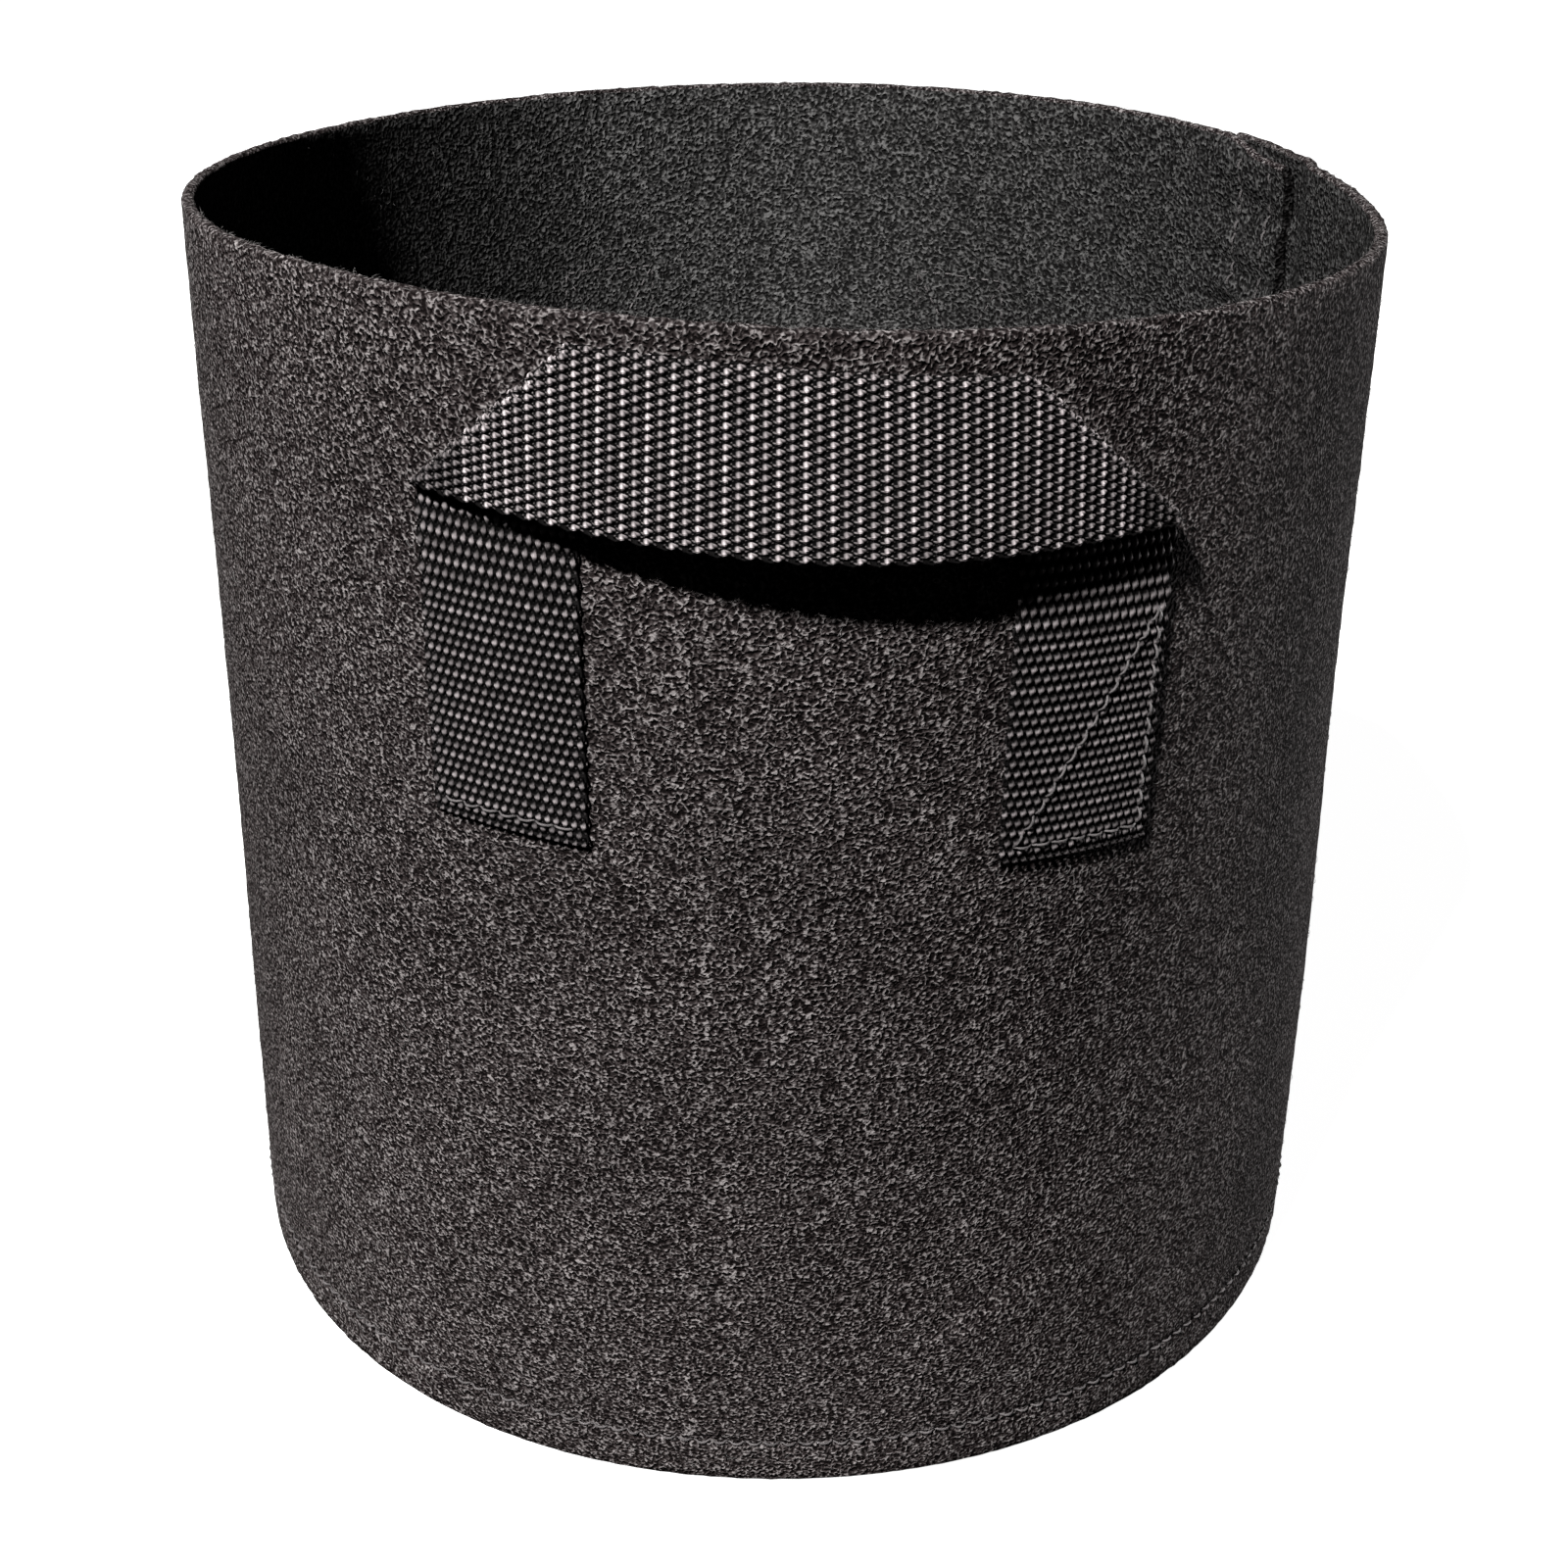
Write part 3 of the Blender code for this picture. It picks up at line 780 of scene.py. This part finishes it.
def strap(name, facing):
    """One webbing strap in a plain weave: warp yarns that float over and under the weft rows."""
    length = 2 * strap_half()[2]
    picks = int(round(length / PICK))
    pick = length / picks
    stations = picks * 4 + 1
    run = np.linspace(0, length, stations)[None, :] + np.zeros((YARNS, 1))
    row = run / pick
    number = np.arange(YARNS)[:, None]
    lane = (number + 0.5 - YARNS / 2) * YARN * 0.985
    phase = math.pi * (row + number)
    over = np.cos(phase)
    uneven = 1 + 0.07 * np.cos(math.pi * row) * np.sign(over)
    wobble = 0.00003 * np.sin(row * 0.9 + number * 2.1)
    across = lane + 0.00006 * np.sin(phase) + wobble
    edge = np.abs(number + 0.5 - YARNS / 2) > YARNS / 2 - 2
    climb = np.where(edge, EDGE_CLIMB, YARN_CLIMB) * over * uneven
    point, side, normal = strap_frame(run, across, facing)
    centre = point + normal * climb[..., None]
    half_width = 0.00038 + 0.00044 * over**2 + 0 * run
    half_height = 0.00030 + 0.00007 * np.abs(over) + 0 * run
    ends = np.minimum(run, length - run)
    flat = 1 - 0.35 * np.exp(-((ends / 0.0012) ** 2))
    warp_points, warp_faces = tubes(centre, side, normal, half_width, half_height * flat,
                                    YARN_SIDES)
    # the weft: one yarn that crosses back and forth and turns at each edge
    crossing = np.array([-1.0, -0.6, -0.2, 0.2, 0.6, 1.0])
    weft_run, weft_across = [], []
    for index in range(picks):
        way = crossing if index % 2 == 0 else -crossing
        weft_run += [index * pick for _ in way]
        weft_across += list(way * (WEBBING_WIDTH / 2 - 0.0002))
        weft_run.append((index + 0.5) * pick)
        weft_across.append(way[-1] * (WEBBING_WIDTH / 2 + 0.0001))
    weft_run = np.clip(np.array(weft_run), 0.0003, length - 0.0003)[None, :]
    weft_across = np.array(weft_across)[None, :]
    point, side, normal = strap_frame(weft_run, weft_across, facing)
    ahead = unit(np.cross(side, normal))
    round_turn = np.abs(weft_across) > WEBBING_WIDTH / 2
    sideways = np.where(round_turn[..., None], side, ahead)
    weft_points, weft_faces = tubes(
        point, sideways, normal, np.where(round_turn, WEFT_TURN_HALF, WEFT_HALF_WIDTH),
        np.full(weft_run.shape, WEFT_HALF_HEIGHT), YARN_SIDES,
    )
    # a thin core that stops light between the yarns, painted near black as the shade there
    core_points, core_faces = strap_core(length, facing)
    points = np.concatenate([warp_points, weft_points, core_points])
    faces = np.concatenate([warp_faces, weft_faces + len(warp_points),
                            core_faces + len(warp_points) + len(weft_points)])
    made = add_mesh(name, points, faces, WEBBING_PAINT)
    fill_ends(made)
    warp_along = np.repeat(run.ravel(), YARN_SIDES) * 1000
    warp_around = np.tile(np.arange(YARN_SIDES) / YARN_SIDES, YARNS * stations) * 2 + np.repeat(
        number.ravel() * 3.7, stations * YARN_SIDES
    )
    rest = np.arange(len(weft_points) + len(core_points)) / YARN_SIDES
    strand_map(made, np.concatenate([warp_along, rest]), np.concatenate([warp_around, rest]))
    # painted light: highlights on the warp crossings, painted shade on the weft and the core
    layer = made.data.attributes.new("painted_light", "FLOAT", "POINT")
    painted_light = np.concatenate([yarn_painted_light(run, row, number, phase).ravel(),
                            np.full(len(weft_points), WEFT_PAINTED_SHADE),
                            np.full(len(core_points), CORE_PAINTED_SHADE)])
    layer.data.foreach_set("value", painted_light.astype(np.float32))
    return made


# ---------------------------------------------------------------- stitches


def stitches(name, starts, ends, normals, node, proud=STITCH_PROUD, thick=THREAD_HALF):
    """Lock stitches: each lies on the cloth in a low arch whose ends go down through it."""
    starts, ends, normals = (np.asarray(a, float) for a in (starts, ends, normals))
    count = len(starts)
    share = np.array([0.02, 0.15, 0.30, 0.5, 0.70, 0.85, 0.98])
    arch = np.array([-1.0, -0.5, 0.6, 1.0, 0.6, -0.5, -1.0])
    slack = 1 + rng.normal(0, 0.12, (count, 1))
    proud = np.broadcast_to(proud, (count,))[:, None]
    rise = np.where(arch > 0, arch * proud, arch * STITCH_SINK) * slack
    rise = np.where(proud < 0, proud, rise)
    way = unit(ends - starts)
    side = unit(np.cross(way, normals))
    lean = rng.normal(0, 0.00012, (count, 1)) * np.sin(math.pi * share)[None, :]
    centres = (
        starts[:, None] + (ends - starts)[:, None] * share[None, :, None]
        + normals[:, None] * rise[..., None] + side[:, None] * lean[..., None]
    )
    taper = np.array([0.7, 0.95, 1.0, 1.0, 1.0, 0.95, 0.7])[None, :] * np.ones((count, 1))
    spread = np.broadcast_to(side[:, None], centres.shape)
    up = np.broadcast_to(normals[:, None], centres.shape)
    points, faces = tubes(centres, spread, up, thick * taper * 1.1, thick * taper * 0.9, 7)
    made = add_mesh(name, points, faces, THREAD_PAINT)
    fill_ends(made)
    along = np.repeat(np.tile(share * 4.3, count), 7)
    around = np.tile(np.arange(7) / 7.0 * 2, count * len(share))
    strand_map(made, along, around)
    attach(made, "bag")
    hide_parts(node)
    return made


def outward_at(azimuth):
    """The level direction away from the bag's middle."""
    return np.stack([np.sin(azimuth), -np.cos(azimuth), 0 * azimuth], axis=-1)


def stitch_line(points, normals, pitch=STITCH):
    """Splits a polyline into stitches of about that pitch."""
    points, normals = np.asarray(points, float), np.asarray(normals, float)
    length = np.concatenate([[0], np.cumsum(np.linalg.norm(np.diff(points, axis=0), axis=1))])
    count = max(1, int(round(length[-1] / pitch)))
    marks = np.linspace(0, length[-1], count + 1)
    at = np.stack([np.interp(marks, length, points[:, i]) for i in range(3)], -1)
    normal = np.stack([np.interp(marks, length, normals[:, i]) for i in range(3)], -1)
    return at[:-1], at[1:], unit(normal[:-1] + normal[1:])


def seam_stitches():
    """The base seam's row and the side seam's two, each with a thread on either face."""
    azimuth = LAP_INNER_END + 2 * COLUMN * np.arange(STITCHES_ROUND + 1)
    turn = np.mod(azimuth, TAU)
    hold = LAP_OUTER_END + math.radians(1.0)
    climbed = smoothstep(LAP_INNER_END - LAP_RAMP, LAP_INNER_END - math.radians(1), turn)
    let_down = smoothstep(hold, hold + math.radians(2.4), turn)
    rise = LAP_RISE * climbed * (1 - let_down)
    level = BASE_SEAM_HEIGHT + 0 * azimuth
    outside = on_wall(azimuth, level, rise - 0.0002)
    normal = outward_at(azimuth)
    middle = unit(normal[:-1] + normal[1:])
    stitches("base_seam_stitches_outside", outside[:-1], outside[1:], middle,
             "base_seam_thread_outside")
    radius = BASE_RADIUS - 2 * FELT - GAP - FLANGE_LEAN * 0.6 + 0.0002
    inside = normal * radius + np.array([0, 0, BASE_SEAM_HEIGHT])
    stitches("base_seam_stitches_inside", inside[:-1], inside[1:], -middle,
             "base_seam_thread_inside")
    for number, row in enumerate(SIDE_SEAM_ROWS, start=1):
        for where, offset, low, way in (
            ("outside", LAP_RISE - 0.0003, 0.0150, 1.0),
            ("inside", -FELT + 0.0003, FLANGE_HEIGHT + 0.0018, -1.0),
        ):
            top = BAG_HEIGHT - (0.0014 if where == "outside" else 0.0052)
            z = np.linspace(low, top, 120)
            line = np.full_like(z, row)
            swell = 1.0 if where == "outside" else 1 + INNER_PUCKER
            points = on_wall(line, z, offset + swell * pucker(line, z))
            starts, ends, normals = stitch_line(points, outward_at(line) * way)
            stitches(f"side_seam_stitches_{where}_{number}", starts, ends, normals,
                     f"side_seam_thread_{where}_{number}")


def box_stitches(where, hand, side, facing):
    """The stitched box and its diagonals, through the strap's sewn end and the felt."""
    reach = WEBBING_WIDTH / 2 - BOX_MARGIN
    corners = [(-1, 0), (1, 0), (1, 1), (-1, 1), (-1, 0)]
    legs = list(zip(corners[:-1], corners[1:])) + [((-1, 0), (1, 1)), ((1, 0), (-1, 1))]
    # pulled tight into the webbing, except for the rows that stay on top of it
    standing = (0, 1, 4) if side * facing > 0 else (0,)
    for face, outward, way in (
        ("outside", GAP + WEBBING + 0.00012, 1.0),
        ("inside", -FELT + 0.0002, -1.0),
    ):
        parts, proud = [], []
        for leg, ((u0, v0), (u1, v1)) in enumerate(legs):
            t = np.linspace(0, 1, 24)
            along = side * TAB_ARC + (u0 + (u1 - u0) * t) * reach
            z = BOX_BOTTOM + (BOX_TOP - BOX_BOTTOM) * (v0 + (v1 - v0) * t)
            along, z = sewn_askew(along, z, facing)
            azimuth = along / HANDLE_RADIUS
            mirror = np.array([facing, facing, 1.0])
            points = on_wall(azimuth, z, outward) * mirror
            parts.append(stitch_line(points, outward_at(azimuth) * mirror * way))
            on_top = leg in standing or face == "inside"
            height = BOX_STITCH_PROUD if on_top else BOX_STITCH_SUNK
            proud += [height] * len(parts[-1][0])
        starts, ends, normals = (np.concatenate([p[i] for p in parts]) for i in range(3))
        tab = f"{where}_handle_{hand}_tab"
        stitches(f"{tab}_stitches_{face}", starts, ends, normals, f"{tab}_thread_{face}",
                 np.array(proud), BOX_THREAD_HALF)


def handles():
    for where, facing in (("front", 1.0), ("rear", -1.0)):
        made = strap(f"{where}_handle_strap", facing)
        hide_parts(f"{where}_handle_grip", f"{where}_handle_left_tab",
                    f"{where}_handle_right_tab")
        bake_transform(made)
        for hand, side in (("left", -1), ("right", 1)):
            box_stitches(where, hand, side, facing)


# ---------------------------------------------------------------- loose fibres

FELT_FIBRES = 5200
RIM_FIBRES = 1600
FIBRE_SIDES = 3


def fibres(name, azimuth, z, outward, way, length, lift, thick):
    """Short curled fibres that lie on the felt, each with its ends in it."""
    count = len(azimuth)
    share = np.linspace(0, 1, 5)[None, :]
    curl = rng.normal(0, 1.1, (count, 1))
    turn = rng.uniform(0, TAU, (count, 1)) + curl * (share - 0.5)
    step_u = np.cumsum(np.cos(turn), 1) / 5
    step_v = np.cumsum(np.sin(turn), 1) / 5
    along = azimuth[:, None] + (step_u - step_u[:, 2:3]) * length[:, None] / BASE_RADIUS
    up = z[:, None] + (step_v - step_v[:, 2:3]) * length[:, None]
    arch = -0.00008 + (lift[:, None] + 0.00008) * np.sin(math.pi * share)
    centres = on_wall(along, up, outward[:, None] + way[:, None] * arch)
    ahead = np.gradient(centres, axis=1)
    normal = outward_at(along)
    side = unit(np.cross(ahead, normal))
    taper = thick[:, None] * np.array([0.5, 1.0, 1.0, 1.0, 0.5])[None, :]
    points, faces = tubes(centres, side, normal, taper, taper, FIBRE_SIDES)
    made = add_mesh(name, points, faces, FIBRE_PAINT)
    fill_ends(made)
    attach(made, "bag")
    return made


def loose_fibres():
    """Fibres that lie on both faces of the wall, clear of the lap."""
    count = FELT_FIBRES
    azimuth = rng.uniform(0, TAU, count)
    z = rng.uniform(0.004, BAG_HEIGHT - 0.003, count)
    lap = (azimuth > LAP_INNER_END - LAP_RAMP) & (azimuth < LAP_OUTER_END + 0.04)
    azimuth, z = azimuth[~lap], z[~lap]
    count = len(azimuth)
    outside = rng.uniform(0, 1, count) < 0.62
    way = np.where(outside, 1.0, -1.0)
    outward = np.where(outside, 0.0, -FELT)
    z = np.where(outside, z, BAG_HEIGHT - rng.uniform(0.003, 0.16, count))
    fibres("felt_fibres", azimuth, z, outward, way, rng.uniform(0.0018, 0.0040, count),
           rng.uniform(0.0001, 0.0005, count), rng.uniform(0.00004, 0.00008, count))


def rim_fibres():
    """Fibres that stand off the cut edge of the rim."""
    count = RIM_FIBRES
    azimuth = rng.uniform(0, TAU, (count, 1))
    share = np.linspace(0, 1, 4)[None, :]
    across = rng.uniform(-FELT, 0, (count, 1))
    lean = rng.normal(0, 0.0007, (count, 1))
    slide = rng.normal(0, 0.0009, (count, 1))
    tall = np.abs(rng.normal(0, 0.0004, (count, 1))) + 0.0002
    along = azimuth + slide * share / BASE_RADIUS
    outward = across + lean * share**1.5
    z = BAG_HEIGHT - 0.0004 + tall * np.sin(share * math.pi * 0.62)
    centres = on_wall(along, z, outward)
    ahead = unit(np.gradient(centres, axis=1))
    side = unit(np.cross(ahead, outward_at(along) + 0.01))
    normal = np.cross(side, ahead)
    thick = rng.uniform(0.00003, 0.00006, (count, 1)) * np.array([1.0, 1.0, 0.8, 0.4])[None, :]
    points, faces = tubes(centres, side, normal, thick, thick, FIBRE_SIDES)
    made = add_mesh("rim_fibres", points, faces, FIBRE_PAINT)
    fill_ends(made)
    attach(made, "bag")


# ---------------------------------------------------------------- studio

FLOOR_DROP = 0.0003  # the floor lies just under the foot
# the floor and the round wall behind it, as (radius, height)
COVE = [(0.05, 0.0), (0.4, 0.0), (2.0, 0.0), (5.0, 0.0), (6.2, 0.35), (6.8, 1.2), (7.0, 3.0),
        (6.0, 5.5), (3.0, 7.2), (0.05, 7.6)]
COVE_STEPS = 96
COVE_GLOW = 0.985
ROOM_LIGHT = 0.006

CAMERA_LENS = 44.09
CAMERA_PLACE = (0.0, -0.4964, 0.3713)
CAMERA_PITCH, CAMERA_ROLL, CAMERA_YAW = (math.radians(a) for a in (27.456, 0.510, 0.195))


def area_light(name, azimuth, elevation, distance, width, height, power, colour, target):
    data = bpy.data.lights.new(name, "AREA")
    data.shape = "ELLIPSE"
    data.size, data.size_y = width, height
    data.energy = power
    data.color = colour
    lamp = bpy.data.objects.new(name, data)
    a, e = math.radians(azimuth), math.radians(elevation)
    back = Vector((math.sin(a) * math.cos(e), -math.cos(a) * math.cos(e), math.sin(e)))
    lamp.location = Vector(target) + back * distance
    lamp.rotation_mode = "QUATERNION"
    lamp.rotation_quaternion = (-back).to_track_quat("-Z", "Y")
    bpy.context.scene.collection.objects.link(lamp)


def studio():
    """The lights, the faint room light, and a pale floor that meets a pale round wall."""
    middle = (0, 0, BAG_HEIGHT * 0.55)
    area_light("key", -31, 50, 2.6, 0.22, 0.22, 172, (1.0, 0.985, 0.97), middle)
    # these two stand for light off the pale floor, so they come from below and stay out of the bag
    area_light("side_fill", 118, -12, 2.0, 0.8, 0.5, 30, (1.0, 0.98, 0.98), middle)
    area_light("back_light", -158, -8, 2.2, 0.9, 0.5, 30, (1.0, 0.99, 0.98), middle)
    world = bpy.data.worlds.new("room")
    world.use_nodes = True
    world.node_tree.nodes["Background"].inputs["Color"].default_value = (1, 1, 1, 1)
    world.node_tree.nodes["Background"].inputs["Strength"].default_value = ROOM_LIGHT
    bpy.context.scene.world = world
    steps = COVE_STEPS
    turn = np.arange(steps) * TAU / steps
    points = np.array([(r * math.cos(t), r * math.sin(t), z - FLOOR_DROP) for r, z in COVE
                       for t in turn])
    i, j = np.meshgrid(np.arange(len(COVE) - 1), np.arange(steps), indexing="ij")
    k = (j + 1) % steps
    faces = np.stack([i * steps + j, i * steps + k, (i + 1) * steps + k, (i + 1) * steps + j],
                     axis=-1).reshape(-1, 4)
    paint = Paint("studio_floor")
    place = paint.node("ShaderNodeTexCoord").outputs["Object"]
    mottle = paint.noise(place, 3.0, 2.0)
    paint.link(paint.ramp(mottle.outputs["Fac"], [(0.3, (0.60, 0.60, 0.60)),
                                                  (0.7, (0.63, 0.63, 0.63))]),
               paint.shader.inputs["Base Color"])
    paint.shader.inputs["Roughness"].default_value = 0.9
    paint.shader.inputs["Emission Color"].default_value = (1.0, 1.0, 1.0, 1.0)
    paint.shader.inputs["Emission Strength"].default_value = COVE_GLOW
    cove = add_mesh("studio_cove", points, faces, paint.material, settled=True)
    work = bmesh.new()
    work.from_mesh(cove.data)
    work.verts.ensure_lookup_table()
    work.faces.new([work.verts[s] for s in range(steps)])
    work.to_mesh(cove.data)
    work.free()
    cove.visible_diffuse = False
    cove.visible_glossy = False
    cove.visible_shadow = False


def camera():
    """At the photograph's viewing angle."""
    data = bpy.data.cameras.new("camera")
    data.sensor_width = 36.0
    data.lens = CAMERA_LENS
    data.clip_start, data.clip_end = 0.01, 50.0
    made = bpy.data.objects.new("camera", data)
    pitch, roll, yaw = CAMERA_PITCH, CAMERA_ROLL, CAMERA_YAW
    forward = Vector((math.sin(yaw) * math.cos(pitch), math.cos(yaw) * math.cos(pitch),
                      -math.sin(pitch)))
    right = Vector((math.cos(yaw), -math.sin(yaw), 0))
    up = right.cross(forward)
    right, up = (math.cos(roll) * right + math.sin(roll) * up,
                 math.cos(roll) * up - math.sin(roll) * right)
    turned = Matrix((right, up, -forward)).transposed()
    made.matrix_world = Matrix.Translation(CAMERA_PLACE) @ turned.to_4x4()
    bpy.context.scene.collection.objects.link(made)
    bpy.context.scene.camera = made


camera()
studio()
wall = felt_wall()
base = felt_base()
seam_stitches()
handles()
loose_fibres()
rim_fibres()

scene = bpy.context.scene
scene.view_settings.view_transform = "Standard"
scene.view_settings.look = "None"
